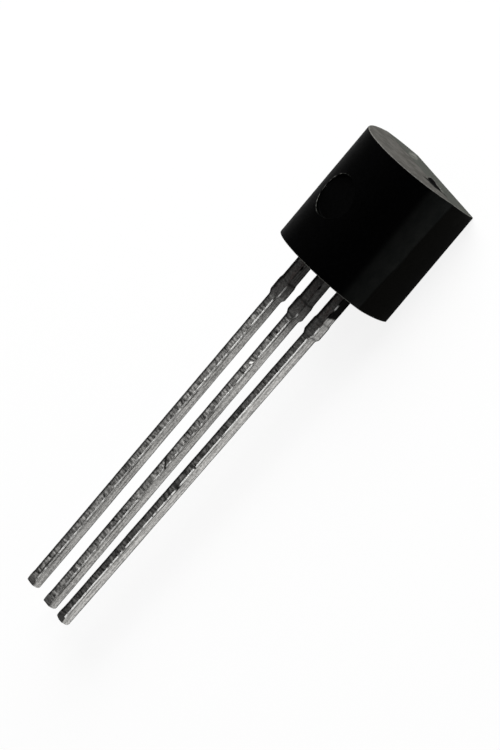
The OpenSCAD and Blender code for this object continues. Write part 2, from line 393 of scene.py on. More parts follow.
def build_body():
    """The moulding as one closed skin, solid inside."""
    foot_rows = 16
    rim_turns = np.radians([90, 72, 54, 36, 18, 0])

    skin = Skin("scar", "lip")
    shapes = BodyRings()
    count = len(shapes.outline)
    centre = np.array([0.0, PARTING_Z])
    rings = []
    for share in np.linspace(0.06, 0.97, foot_rows):
        flat = centre + (shapes.face_edge - centre) * share
        rings.append(skin.add_points(shapes.on_end(flat, -1)))
    for turn in rim_turns:
        rings.append(skin.add_points(shapes.rim(turn, -1)))
    side_first = len(rings)
    shares = np.linspace(0, 1, SIDE_ROWS)[1:-1]
    for share in shares:
        rings.append(skin.add_points(shapes.side(share)))
    for turn in rim_turns[::-1]:
        rings.append(skin.add_points(shapes.rim(turn, 1)))
    add_head(skin, rings, shapes)

    # The ejector pin's mark takes the place of a patch of the side
    half = EJECTOR_R + EJECTOR_PATCH
    on_back = (shapes.outline[:, 1] > AXIS_Z) & (np.abs(shapes.outline[:, 0]) <= half)
    rows = np.nonzero(on_back)[0]
    near = np.nonzero(np.abs(FOOT_X + (HEAD_X - FOOT_X) * shares) <= half)[0]
    row_low, row_high = rows[0], rows[-1]
    low, high = side_first + near[0], side_first + near[-1]
    for i in range(len(rings) - 1):
        for k in range(count):
            if low <= i < high and row_low <= k < row_high:
                continue
            after = (k + 1) % count
            skin.faces.append((rings[i] + k, rings[i] + after, rings[i + 1] + after, rings[i + 1] + k))
    loop = [rings[i] + row_low for i in range(low, high)]
    loop += [rings[high] + k for k in range(row_low, row_high)]
    loop += [rings[i] + row_high for i in range(high, low, -1)]
    loop += [rings[low] + k for k in range(row_high, row_low, -1)]
    add_ejector(skin, loop)
    skin.faces.append(tuple(rings[0] + k for k in range(count)))
    skin.faces.append(tuple(rings[-1] + k for k in range(count)))
    return skin


# ---- Leads ---------------------------------------------------------------

# A nick across a lead, or a painted glint where its tone is 1. It reaches from first to last in half
# widths, and down the sides to a height in half thicknesses.
Nick = namedtuple("Nick", "down width first last height slant tone")

# A point of a lead's section. Down is its distance below the body, and place is the turn on a
# corner or the distance along a face.
Spot = namedtuple("Spot", "down y z part place half_w half_t")


class Lead:
    """One lead: where it leaves the body, how it leans and how its finish wore."""

    def __init__(self, node, y, lean, seed, **finish):
        self.node = node
        self.y = y
        self.lean = lean
        self.seed = seed
        self.longer = finish["longer"]      # of the tip against the CAD
        self.dull = finish["dull"]          # brightness of the wide faces
        self.side = finish["side"]          # brightness of the sheared sides
        self.shine = finish["shine"]        # brightness of the painted highlight line beside an edge
        self.broken = finish["broken"]      # share of that line that is left out
        self.neck = finish["neck"]          # how much of the tone stays under the painted shade at the neck, [top, side]
        self.facet = finish["facet"]        # brightness of the smooth facet on the tip's wide face
        self.cut = finish["cut"]            # how much shorter the tip's far top edge and underside are
        self.shadowed_neck = finish["shadowed_neck"]        # whether the neck's near side carries a painted black shadow
        self.nicks = finish["nicks"]

    def half_width(self, down):
        """Half of the lead's width at a distance below the body."""
        near = STUB_AT - STUB_LEN / 2
        far = STUB_AT + STUB_LEN / 2
        half = SHOULDER / 2
        out = smooth_step(near - half, near + half, down)
        back = smooth_step(far - half, far + half, down)
        return float(NECK_W + (STUB_W - NECK_W) * out - (STUB_W - LEAD_W) * back) / 2

    def middle(self, down):
        """Where the lead's middle is across the row at a distance below the body."""
        stray = WANDER * rough(down, 0, 0, scale=0.35, seed=self.seed) * smooth_step(0.5, 3, down)
        return self.y + self.lean * max(down, 0) / LEAD_LEN + stray


# The parts of a lead's section in the order of its ring: four corners, then the faces after them
TOP_FAR, TOP_NEAR, LOW_NEAR, LOW_FAR, TOP, NEAR, UNDER, FAR = range(8)
CORNER_SIDES = ((1, 1), (-1, 1), (-1, -1), (1, -1))     # which way each corner lies in y and z
CORNER_TURNS = np.radians([0, 18, 36, 54, 72, 90])
STEPS_IN = (0.012, 0.024, 0.036, 0.050, 0.068)          # closer points beside each long edge
MIDDLE_SHARES = (0.36, 0.5, 0.64)


def section_points(half_w, half_t):
    """Points of a section as [y, z, part, turn on a corner or distance along a face]."""
    points = []
    for corner, (side_y, side_z) in enumerate(CORNER_SIDES):
        centre_y = side_y * (half_w - EDGE_R)
        centre_z = side_z * (half_t - EDGE_R)
        for turn in CORNER_TURNS:
            angle = math.pi / 2 * corner + turn
            y = centre_y + EDGE_R * math.cos(angle)
            z = centre_z + EDGE_R * math.sin(angle)
            points.append((y, z, corner, turn))
        face = corner + TOP
        is_wide = face in (TOP, UNDER)
        length = 2 * ((half_w if is_wide else half_t) - EDGE_R)
        steps = list(STEPS_IN) + [length * share for share in MIDDLE_SHARES]
        steps += [length - step for step in STEPS_IN[::-1]]
        for step in steps:
            if is_wide:
                points.append((centre_y - side_y * step, side_z * half_t, face, step))
            else:
                points.append((side_y * half_w, centre_z - side_z * step, face, step))
    return points


def edge_line(lead, down, corner):
    """How bright the painted highlight line beside a long edge is at a distance below the body."""
    run_starts = (1.90, 1.97)                       # distances below the body
    stub_starts, stub_ends = (1.26, 1.32), (1.82, 1.76)
    beads_end = (6, 2.6)
    stub_share, blur = 0.35, 0.08
    place = corner * 5                              # far apart, so that the corners differ
    run = smooth_step(*run_starts, down)
    stub = stub_share * smooth_step(*stub_starts, down) * smooth_step(*stub_ends, down)
    wave = 0.5 + 0.6 * rough(down, place, 0, scale=1.7, seed=lead.seed + 20, octaves=3)
    kept = smooth_step(lead.broken - blur, lead.broken + blur, wave)
    fine = 0.75 + 0.9 * rough(down, place, 0, scale=8, seed=lead.seed + 21)
    beads = 0.9 + 0.9 * rough(down, place, 0, scale=13, seed=lead.seed + 22)
    fine *= 1 + smooth_step(*beads_end, down) * beads
    return min(1.0, max(0.0, lead.shine * (run + stub) * kept * fine))


def wide_face(lead, at, lines):
    """Dent, tone and gleam on the rolled faces, which are scratched across, with a painted highlight
    beside one edge and painted shade towards the other.
    """
    hatched_from = (1.0, 2.4)                                   # distances below the body
    pitted_from = (1.9, 2.5)
    pit_row, pit_row_w = -0.52, 0.22                            # places across, in half widths
    far_shade = (0.25, 0.62)
    hatch_tone, blot_tone, pit_tone, far_shade_tone = 1.3, 0.2, 0.65, 0.85
    across = at.y / at.half_w
    off_line = across if at.part == TOP else -across            # -1 at the edge with the painted highlight line

    hatch = rough(at.down * 2.4 - across * 0.05, across * 0.12, at.part,
                  scale=6.5, seed=lead.seed + 3, octaves=3)
    hatch *= 0.2 + 0.8 * smooth_step(*hatched_from, at.down)
    blot = rough(at.down, across, at.part, scale=2.2, seed=lead.seed + 4)
    tone = lead.dull * (1 + hatch_tone * hatch + blot_tone * blot)

    pit = smooth_step(0.22, 0.42, rough(at.down * 1.9, across, at.part, scale=7, seed=lead.seed + 5))
    pit *= bell(off_line, pit_row, pit_row_w) * (0.4 + 0.6 * smooth_step(*pitted_from, at.down))
    tone -= pit_tone * lead.dull * pit
    # Painted shade towards the edge away from the highlight line
    tone *= 1 - far_shade_tone * smooth_step(*far_shade, off_line)

    # Painted highlight: a band beside the edge that carries the highlight line
    line = lines[TOP_NEAR if at.part == TOP else LOW_FAR]
    line_w = LINE_W * (0.5 + 0.5 * lead.shine)
    to_line = 2 * (at.half_w - EDGE_R) - at.place
    band = smooth_step(line_w, 0.0, to_line)
    dent = HATCH_H * hatch + BLOT_H * blot - PIT_H * pit + LINE_H * band
    return dent, tone, line * band


def sheared_side(lead, at):
    """Dent and tone on the sides, which are drawn along and grooved beside one edge, with painted shade in
    the groove and along the other edge.
    """
    dark_edge = (0.034, 0.005)                                  # distances from that other edge
    grooved_from = (1.2, 2.0)                                   # distances below the body
    dark_until = (2.8, 1.8)
    streak = rough(at.down * 0.12, at.z * 2.2, at.part, scale=7, seed=lead.seed + 6)
    cut = 0.75 + 0.8 * rough(at.down, at.part, 0, scale=1.7, seed=lead.seed + 7, octaves=3)
    cut *= smooth_step(*grooved_from, at.down)
    groove_and_shade = bell(at.place, GROOVE_IN, GROOVE_W) * min(1, max(0, cut))
    edge = smooth_step(*dark_edge, 2 * (at.half_t - EDGE_R) - at.place)
    shade = 0.25 + 0.65 * smooth_step(*dark_until, at.down)
    # Painted shade in the groove and along the other edge
    tone = lead.side * (1 + 0.16 * streak) * (1 - 0.9 * groove_and_shade) * (1 - shade * edge)
    return STREAK_H * streak - GROOVE_H * groove_and_shade, tone


def finish_at(lead, at, lines):
    """Outward dent in millimetres, tone and gleam of a point of a lead."""
    dent = gleam = 0.0
    if at.part in (TOP, UNDER):
        dent, tone, gleam = wide_face(lead, at, lines)
    elif at.part in (NEAR, FAR):
        dent, tone = sheared_side(lead, at)
    elif at.part in (TOP_NEAR, LOW_FAR):            # these edges carry the painted highlight line
        gleam = lines[at.part] * smooth_step(1.5, 1.0, at.place)
        tone = lead.dull + (lead.side - lead.dull) * smooth_step(0.5, 1.1, at.place)
    else:                                           # the other two are dark with painted shade
        tone = lead.dull * 0.25
    across = at.y / at.half_w
    for nick in lead.nicks:
        if at.z > nick.height * at.half_t and nick.first <= across <= nick.last:
            weight = bell(at.down - nick.slant * across, nick.down, nick.width, 4)
            tone += (nick.tone - tone) * weight
            if nick.tone < 0.5:
                gleam *= 1 - weight
                dent -= NICK_H * weight
            # A painted glint
            else:
                gleam = max(gleam, weight)
                dent += BRIGHT_H * weight
    return dent, tone, gleam


def near_body(lead, down, y, z, tone, gleam):
    """Tone and gleam with painted shade on the neck and its shoulders, and a painted black shadow with a
    painted glint on one lead's near side.
    """
    bright_from = (1.0, 3.4)                                    # distances below the body
    shoulder_w = 0.04
    shadow_len, shadow_slant, shadow_blur = 0.86, 0.35, 0.10
    spark_at, spark_len, spark_z, spark_w = 0.50, 0.10, 0.165, 0.020    # a painted glint in that painted shadow
    near_side = y < EDGE_R * 0.8 - lead.half_width(down)
    # Painted shade: the neck near the body is darker
    kept = lead.neck[1] if near_side else lead.neck[0]
    tone *= kept + (1 - kept) * smooth_step(*bright_from, down)
    # Painted shade at both shoulders of the stubs
    shoulders = (STUB_AT - STUB_LEN / 2, STUB_AT + STUB_LEN / 2)
    tone *= 1 - 0.45 * sum(bell(down, at, shoulder_w) for at in shoulders)
    # Painted shadow: the near side by the body is black, with a painted glint
    if lead.shadowed_neck and near_side:
        shadow_end = shadow_len + shadow_slant * z
        tone *= 1 - 0.98 * smooth_step(shadow_end + shadow_blur, shadow_end, down)
        spark = bell(down, spark_at, spark_len, 4) * bell(z, spark_z, spark_w)
        gleam = max(gleam, 0.8 * spark)
    return tone, gleam


def tip_shape(lead, down, length, y, z, half_w, half_t):
    """A point's place and smoothness at a sheared tip, and how far the point draws back."""
    far, under = lead.cut
    back = smooth_step(length - TIP_CUT_LEN, length, down)
    back *= far * max(0.0, y / half_w) * (z > 0) + under * max(0.0, -z / half_t) ** 2
    if y > 0:
        y += TIP_FLARE * smooth_step(length - TIP_FLARE_LEN[0], length - TIP_FLARE_LEN[1], down)
    facet_from = length - FACET_LEN + FACET_SKEW * max(0.0, -y / half_w)
    smooth = 0.0
    if z > 0.8 * half_t:
        smooth = smooth_step(facet_from - FACET_BLUR, facet_from + FACET_BLUR, down)
    if z > 0:
        z -= FACET_DROP * smooth_step(facet_from, length, down)
    narrow = 1 - TIP_CLOSING * smooth_step(length - TIP_CLOSING_LEN, length, down) ** 2
    return y * narrow, z * narrow, smooth, back


def inner_half(node, cut_x):
    """Points and faces of the CAD node's part inside the body, and the points of its open end."""
    same_point, too_thin = 1e-4, 1e-5
    work = bmesh.new()
    work.from_mesh(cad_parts[node].data)
    bmesh.ops.scale(work, vec=(PER_METRE,) * 3, verts=work.verts)
    bmesh.ops.remove_doubles(work, verts=work.verts, dist=same_point)
    everything = work.verts[:] + work.edges[:] + work.faces[:]
    bmesh.ops.bisect_plane(work, geom=everything, dist=too_thin, plane_co=(cut_x, 0, 0),
                           plane_no=(1, 0, 0), clear_inner=True)
    bmesh.ops.dissolve_degenerate(work, dist=too_thin, edges=work.edges)
    work.verts.index_update()
    points = [tuple(v.co) for v in work.verts]
    faces = [tuple(v.index for v in f.verts) for f in work.faces]
    rim = sorted({v.index for e in work.edges if e.is_boundary for v in e.verts})
    work.free()
    return points, faces, rim


def join_loops(points, first, second, centre):
    """Triangles between two closed loops round a centre in [y, z], whose points need not match."""
    def turn_of(vertex):
        _, y, z = points[vertex]
        return math.atan2(z - centre[1], y - centre[0])

    def by_turn(loop):
        turned = sorted((turn_of(vertex), vertex) for vertex in loop)
        return turned + [(turned[0][0] + 2 * math.pi, turned[0][1])]

    first, second = by_turn(first), by_turn(second)
    faces = []
    i = k = 0
    while i < len(first) - 1 or k < len(second) - 1:
        if k == len(second) - 1 or (i < len(first) - 1 and first[i + 1][0] <= second[k + 1][0]):
            faces.append((first[i][1], first[i + 1][1], second[k][1]))
            i += 1
        else:
            faces.append((first[i][1], second[k + 1][1], second[k][1]))
            k += 1
    return faces


def lead_ring(lead, down, length):
    """Points, tones and gleams of a ring round a lead at a distance below the body."""
    half_w = lead.half_width(down)
    half_t = LEAD_T / 2
    middle = lead.middle(down)
    lines = {corner: edge_line(lead, down, corner) for corner in (TOP_NEAR, LOW_FAR)}
    wider = 1 + WAVE * rough(down, 0, 0, scale=2.5, seed=lead.seed + 8, octaves=3) / half_w
    ring, tones, gleams = [], [], []
    for y, z, part, place in section_points(half_w, half_t):
        at = Spot(down, y, z, part, place, half_w, half_t)
        dent, tone, gleam = finish_at(lead, at, lines)
        if part in (NEAR, FAR):
            y += dent if y > 0 else -dent
        else:
            z += dent if z > 0 else -dent
        y, z, smooth, back = tip_shape(lead, down, length, y * wider, z, half_w, half_t)
        tone, gleam = near_body(lead, down, y, z, tone, gleam)
        tones.append(tone + (lead.facet - tone) * smooth)
        gleams.append(gleam * (1 - smooth))
        ring.append((FOOT_X - down + back, middle + y, PARTING_Z + z))
    return ring, np.clip(tones, 0, 1), np.clip(gleams, 0, 1)


def build_lead(lead):
    """The CAD lead's inner part and a finely built run from there to the tip, as one closed skin."""
    skin = Skin("tone", "gleam")
    points, faces, inner_rim = inner_half(lead.node, FOOT_X + SOCKET + BRIDGE)
    skin.add_points(points, tone=lead.side)
    skin.faces += faces
    length = LEAD_LEN + lead.longer
    run = np.arange(-SOCKET, length - TIP_LEN, ROW_STEP)
    tip = np.linspace(length - TIP_LEN, length, TIP_ROWS)
    previous = None
    for down in np.concatenate([run, tip]):
        ring, tones, gleams = lead_ring(lead, down, length)
        first = skin.add_points(ring, tone=tones, gleam=gleams)
        current = list(range(first, first + len(ring)))
        if previous is None:
            skin.faces += join_loops(skin.points, inner_rim, current, (lead.y, PARTING_Z))
        else:
            skin.faces += strip(previous, current)
        previous = current
    skin.faces.append(tuple(previous))
    return skin


# ---- Materials -----------------------------------------------------------

class Shader:
    """A material whose nodes are added by the methods, from sockets, numbers and colours."""

    def __init__(self, name):
        self.material = bpy.data.materials.new(name)
        self.material.use_nodes = True
        self.nodes = self.material.node_tree.nodes
        self.links = self.material.node_tree.links
        self.surface = self.nodes["Principled BSDF"]

    @cached_property
    def place(self):
        """Where a point lies in the frame, in millimetres."""
        where = self.nodes.new("ShaderNodeTexCoord").outputs["Object"]
        return self.vector("MULTIPLY", where, (PER_METRE,) * 3)

    def join(self, value, socket):
        """Links a socket, or sets a number or colour."""
        if isinstance(value, bpy.types.NodeSocket):
            self.links.new(value, socket)
        else:
            socket.default_value = value

    def vector(self, operation, first, second):
        node = self.nodes.new("ShaderNodeVectorMath")
        node.operation = operation
        self.join(first, node.inputs[0])
        self.join(second, node.inputs[1])
        return node.outputs["Value" if operation == "DOT_PRODUCT" else "Vector"]

    def math(self, operation, first, second=0.0):
        node = self.nodes.new("ShaderNodeMath")
        node.operation = operation
        self.join(first, node.inputs[0])
        self.join(second, node.inputs[1])
        return node.outputs[0]

    def times(self, first, *others):
        for other in others:
            first = self.math("MULTIPLY", first, other)
        return first

    def plus(self, first, second):
        return self.math("ADD", first, second)

    def unsigned(self, value):
        """A number without its sign."""
        return self.math("ABSOLUTE", value)

    def noise(self, scale, detail=3.0, roughness=0.55, stretch=(1, 1, 1), shift=0.0):
        """Noise with about scale features to a millimetre."""
        place = self.vector("MULTIPLY", self.place, stretch)
        place = self.vector("ADD", place, (shift, shift, shift))
        node = self.nodes.new("ShaderNodeTexNoise")
        self.join(place, node.inputs["Vector"])
        node.inputs["Scale"].default_value = scale
        node.inputs["Detail"].default_value = detail
        node.inputs["Roughness"].default_value = roughness
        return node.outputs["Fac"]

    def ramp(self, value, low, high, out_low=0.0, out_high=1.0, smooth=True):
        """A slope from out_low at low to out_high at high; low may be the larger one."""
        node = self.nodes.new("ShaderNodeMapRange")
        node.interpolation_type = "SMOOTHSTEP" if smooth else "LINEAR"
        self.join(value, node.inputs["Value"])
        self.join(low, node.inputs["From Min"])
        self.join(high, node.inputs["From Max"])
        self.join(out_low, node.inputs["To Min"])
        self.join(out_high, node.inputs["To Max"])
        return node.outputs["Result"]

    def mix(self, factor, first, second):
        """The first colour where factor is 0 and the second where it is 1."""
        node = self.nodes.new("ShaderNodeMix")
        node.data_type = "RGBA"
        self.join(factor, node.inputs["Factor"])
        self.join(first, node.inputs[6])
        self.join(second, node.inputs[7])
        return node.outputs[2]

    def split(self, value):
        node = self.nodes.new("ShaderNodeSeparateXYZ")
        self.join(value, node.inputs[0])
        return node.outputs[0], node.outputs[1], node.outputs[2]

    def mark(self, label):
        """A number from 0 to 1 that the mesh carries."""
        node = self.nodes.new("ShaderNodeAttribute")
        node.attribute_name = label
        return node.outputs["Fac"]

    def normal(self):
        """The parts of the surface normal in x, y and z."""
        return self.split(self.nodes.new("ShaderNodeNewGeometry").outputs["Normal"])

    def off(self, point, direction, reach):
        """How far a place is from a point along a direction, as a share of a reach."""
        away = self.vector("DOT_PRODUCT", self.vector("SUBTRACT", self.place, point), direction)
        return self.math("DIVIDE", away, reach)

    def bump(self, height, strength, depth):
        """A normal that follows a height field, depth in millimetres."""
        node = self.nodes.new("ShaderNodeBump")
        node.inputs["Strength"].default_value = strength
        node.inputs["Distance"].default_value = depth * MM
        self.join(height, node.inputs["Height"])
        return node.outputs["Normal"]

    def set(self, name, value):
        self.join(value, self.surface.inputs[name])


# Colours of the moulding compound
GLOSS = (0.0003, 0.0003, 0.0003, 1)
GLOSS_SPECK = (0.0008, 0.0008, 0.0009, 1)
# Painted reflection: a grey band on the side above the parting line
SHEEN_BAND = (0.0075, 0.0084, 0.0079, 1)
SHEEN_BAND_PALE = (0.0108, 0.0115, 0.0108, 1)
# Painted reflection, dimmer, on the side below the parting line
DIM_SHEEN_LOWER = (0.0034, 0.0034, 0.0029, 1)
MATT_END = (0.060, 0.058, 0.053, 1)
MATT_END_PALE = (0.088, 0.085, 0.078, 1)
# Painted shade on the ends below the parting line
MATT_LOWER_SHADED = (0.056, 0.060, 0.053, 1)
MOTTLE = (0.035, 0.036, 0.032, 1)
# Painted highlight on the rounded rims of the ends
RIM_HIGHLIGHT = (0.16, 0.16, 0.145, 1)
PALE_PATCH = (0.17, 0.17, 0.155, 1)
SEAM = (0.015, 0.015, 0.014, 1)
# Painted highlight on the far lip of the ejector pin's mark
LIP_HIGHLIGHT = (0.13, 0.13, 0.12, 1)
# Painted shade in the gate's scar and beside it
SCAR_SHADE = (0.0005, 0.0005, 0.0005, 1)
SCAR_SHADE_SPECK = (0.004, 0.004, 0.004, 1)


def side_colour(m, x, z, cloud, speckle):
    """Near-black on the crown, with a painted reflection band that grows greyer towards the parting line
    and a dimmer painted reflection below it.
    """
    border, border_blur = PARTING_Z + 0.82, 0.12                # upper border of the painted reflection band
    slope_top = PARTING_Z + 0.80
    lower_blur = 0.06                                           # its lower border, which wanders
    rise, stray = 0.045, 0.16
    gloss = m.mix(m.ramp(speckle, 0.35, 0.7), GLOSS, GLOSS_SPECK)
    # Painted reflection band, paler in clouds
    matt_or_painted = m.mix(m.ramp(cloud, 0.35, 0.65), SHEEN_BAND, SHEEN_BAND_PALE)
    step = m.ramp(z, border + border_blur, border - border_blur, 0.0, 0.4)
    slope = m.ramp(z, slope_top, PARTING_Z, 0.0, 0.6, smooth=False)
    # The dimmer painted reflection begins below a border that slants along the body and wanders
    wander = m.plus(m.times(x, rise), m.times(m.noise(0.9, 3, shift=6.0), stray))
    height = m.plus(z, m.plus(wander, -stray / 2))
    lower = m.ramp(height, PARTING_Z + lower_blur, PARTING_Z - lower_blur)
    above = m.times(m.plus(step, slope), m.math("SUBTRACT", 1.0, lower))
    return m.mix(lower, m.mix(above, gloss, matt_or_painted), DIM_SHEEN_LOWER)


def end_colour(m, x, z, rim, cloud, speckle):
    """Matt grey with dark mottle, a painted highlight on the rim, a pale patch, painted shade below the
    parting line and the dark seam at the parting line.
    """
    lower_blur = 0.03
    seam_edge, seam_core = 0.028, 0.010                         # half of the seam's width
    patch_in = 0.5                                              # the patch keeps this near the head
    matt = m.mix(m.ramp(cloud, 0.35, 0.65), MATT_END, MATT_END_PALE)
    # Painted shade: the ends are darker and greener below the parting line
    lower = m.ramp(z, PARTING_Z + lower_blur, PARTING_Z - lower_blur, 0.0, 0.75)
    matt = m.mix(lower, matt, MATT_LOWER_SHADED)
    mottle = m.ramp(m.noise(6, 4, 0.7, shift=5.0), 0.50, 0.62, 0.0, 0.32)
    matt = m.mix(mottle, matt, MOTTLE)
    # Painted highlight along the ends' rounded rims, broken by speckle
    rim_highlight_mask = m.times(rim, m.ramp(speckle, 0.38, 0.6, 0.35, 1.0))
    matt = m.mix(rim_highlight_mask, matt, RIM_HIGHLIGHT)

    along = m.off(PATCH_MIDDLE, PATCH_ALONG, PATCH_LEN)
    beside = m.off(PATCH_MIDDLE, PATCH_ACROSS, PATCH_W)
    from_patch = m.plus(m.times(along, along), m.times(beside, beside))
    on_head = m.ramp(x, 0.0, HEAD_X - patch_in, 0.0, 0.8)
    pale_patch = m.times(m.ramp(from_patch, 1.8, 0.3), m.ramp(speckle, 0.40, 0.56), on_head)
    matt = m.mix(pale_patch, matt, PALE_PATCH)

    from_seam = m.unsigned(m.plus(z, -PARTING_Z))
    seam_shows = m.ramp(m.noise(3, 2, shift=9.0), 0.40, 0.55, 0.0, 0.7)
    seam = m.times(m.ramp(from_seam, seam_edge, seam_core), seam_shows)
    return m.mix(seam, matt, SEAM)


def moulding_material():
    """Near-black moulding compound: satin on its sides with a painted reflection band, matt on its ends
    with painted highlights on their rims, a painted highlight on the ejector mark's lip and painted shade
    in the gate's scar.
    """
    end_starts, end_full = HEAD_X - 0.40, HEAD_X - 0.25         # distances from the middle
    m = Shader("moulding")
    x, _, z = m.split(m.place)
    facing_end = m.unsigned(m.normal()[0])
    scar = m.mark("scar")
    lip = m.mark("lip")
    at_end = m.ramp(m.unsigned(x), end_starts, end_full)
    end = m.times(at_end, m.ramp(facing_end, 0.30, 0.75))
    rim = m.times(at_end, m.ramp(facing_end, 0.15, 0.35), m.ramp(facing_end, 0.985, 0.93))
    grain = m.noise(26, 4, 0.6)
    cloud = m.noise(2.2, 4, 0.6, shift=4.0)
    speckle = m.noise(9, 4, 0.7, shift=2.0)

    side = side_colour(m, x, z, cloud, speckle)
    colour = m.mix(end, side, end_colour(m, x, z, rim, cloud, speckle))
    # Painted highlight on the ejector mark's lip
    lip_highlight_mask = m.times(lip, m.ramp(speckle, 0.30, 0.60, 0.3, 1.0))
    colour = m.mix(lip_highlight_mask, colour, LIP_HIGHLIGHT)
    # Painted shade: the gate's scar and the band beside it are near-black
    m.set("Base Color", m.mix(scar, colour, m.mix(speckle, SCAR_SHADE, SCAR_SHADE_SPECK)))

    matt_or_painted = m.math("MAXIMUM", m.math("MAXIMUM", end, lip), scar)
    m.set("Roughness", m.plus(m.ramp(cloud, 0.3, 0.7, 0.46, 0.54), m.times(matt_or_painted, 0.5)))
    m.surface.inputs["Specular IOR Level"].default_value = 0.01
    relief = m.plus(grain, m.times(speckle, matt_or_painted, 2.0))
    m.set("Normal", m.bump(relief, strength=0.2, depth=0.004))
    return m.material


# Colours of the leads
BLACK = (0.0, 0.0, 0.0, 1)
TIN = (1.0, 0.985, 0.95, 1)
TARNISH = (0.80, 0.57, 0.52, 1)
HIGHLIGHT_PALE = (0.93, 0.93, 0.91, 1)


def lead_material():
    """Dull tin plate whose tone, painted shade included, and painted highlight lines are marked on the
    mesh.
    """
    grainy = (FOOT_X - 2.5, FOOT_X - 1.6)                       # where the neck's finish begins
    stained = (FOOT_X - 1.9, FOOT_X - 1.0)
    m = Shader("tin_plate")
    x, _, _ = m.split(m.place)
    upward = m.normal()[2]
    wide = m.ramp(m.unsigned(upward), 0.5, 0.8)                 # 1 on the wide faces, 0 on the sides
    tone = m.mark("tone")
    gleam = m.mark("gleam")

    grain = m.noise(14, 2, 0.6, shift=5.0)
    scratched = m.noise(13, 3, 0.65, stretch=(1.3, 0.25, 0.25), shift=3.0)
    drawn = m.noise(20, 3, 0.6, stretch=(0.04, 1, 1), shift=7.0)
    neck = m.ramp(x, *grainy, 0.0, 0.75)
    texture = m.mix(wide, m.mix(0.45, drawn, grain), m.mix(neck, scratched, grain))
    uneven = m.times(m.ramp(texture, 0.3, 0.7, -1.0, 1.0), m.ramp(wide, 0.0, 1.0, 0.6, 0.5))
    level = m.times(tone, m.plus(1.0, uneven))

    stains = m.ramp(m.noise(4.5, 4, 0.7, shift=11.0), 0.48, 0.62, 0.0, 0.6)
    tint = m.times(m.ramp(x, *stained), stains, wide)
    metal = m.mix(tint, m.mix(level, BLACK, TIN), m.mix(level, BLACK, TARNISH))
    # The painted highlight line in pale grey
    m.set("Base Color", m.mix(gleam, metal, HIGHLIGHT_PALE))

    # The painted highlight line is pale and not metallic where it faces up, so that it shows from every
    # side
    pale = m.times(gleam, m.ramp(upward, 0.25, 0.6))
    m.set("Metallic", m.math("SUBTRACT", 1.0, pale))
    # Rougher where the tone is near black, as in the painted shadow
    rough_where_black = m.ramp(tone, 0.06, 0.02, 0.0, 0.4)
    m.set("Roughness", m.plus(m.ramp(wide, 0.0, 1.0, 0.30, 0.42), rough_where_black))
    m.set("Normal", m.bump(texture, strength=0.35, depth=0.006))
    return m.material


def inner_material(name, colours, metallic, roughness, scales):
    """A material for a piece inside the body, with noise between two colours and two roughnesses."""
    m = Shader(name)
    m.set("Base Color", m.mix(m.noise(scales[0]), *colours))
    m.surface.inputs["Metallic"].default_value = metallic
    m.set("Roughness", m.ramp(m.noise(scales[1]), 0.3, 0.7, *roughness))
    return m.material


# ---- Stage ---------------------------------------------------------------

CAMERA_AZIMUTH, CAMERA_ELEVATION, CAMERA_ROLL = 12.1311, 41.7307, -58.1289      # degrees
CAMERA_TARGET = (-6.4237, -0.673, 1.8992)
CAMERA_DISTANCE = 409.0953
CAMERA_LENS = 600
CAMERA_SENSOR = 36                      # its width
CAMERA_CLIP = (10, 10000)

FLOOR_HALF = 3000.0
FLOOR_WHITE = (0.9, 0.9, 0.9, 1)
FLOOR_GLOW = {"Is Camera Ray": 0.87, "Is Glossy Ray": 0.3, "Is Transmission Ray": 0.87}     # shares

HORIZON_LIGHT = 1.0
SKY_LIGHT = 0.17
SKY_FADE = (0.10, 0.36)                 # heights where the one turns into the other, 1 is overhead


def add_camera():
    """The photograph's view: long lens, from the front, above and a little to the head's side."""
    azimuth, elevation = math.radians(CAMERA_AZIMUTH), math.radians(CAMERA_ELEVATION)
    roll = math.radians(CAMERA_ROLL)
    back = Vector((math.sin(azimuth) * math.cos(elevation),
                   -math.cos(azimuth) * math.cos(elevation),
                   math.sin(elevation)))
    level_right = Vector((math.cos(azimuth), math.sin(azimuth), 0))
    level_up = back.cross(level_right)
    right = level_right * math.cos(roll) + level_up * math.sin(roll)
    up = level_up * math.cos(roll) - level_right * math.sin(roll)
    data = bpy.data.cameras.new("camera")
    data.sensor_width = CAMERA_SENSOR
    data.lens = CAMERA_LENS
    data.clip_start = CAMERA_CLIP[0] * MM
    data.clip_end = CAMERA_CLIP[1] * MM
    camera = bpy.data.objects.new("camera", data)
    bpy.context.scene.collection.objects.link(camera)
    place = Vector(CAMERA_TARGET) * MM + back * CAMERA_DISTANCE * MM
    turn = Matrix((right, up, back)).transposed().to_4x4()
    camera.matrix_world = Matrix.Translation(place) @ turn
    bpy.context.scene.camera = camera


def add_softbox(name, direction, distance, width, height, radiance):
    """A soft area light that faces the body, sizes in millimetres."""
    data = bpy.data.lights.new(name, "AREA")
    data.shape = "RECTANGLE"
    data.size = width * MM
    data.size_y = height * MM
    data.energy = radiance * math.pi * data.size * data.size_y
    light = bpy.data.objects.new(name, data)
    bpy.context.scene.collection.objects.link(light)
    towards = Vector(direction).normalized()
    light.location = towards * distance * MM
    light.rotation_mode = "QUATERNION"
    light.rotation_quaternion = (-towards).to_track_quat("-Z", "Y")


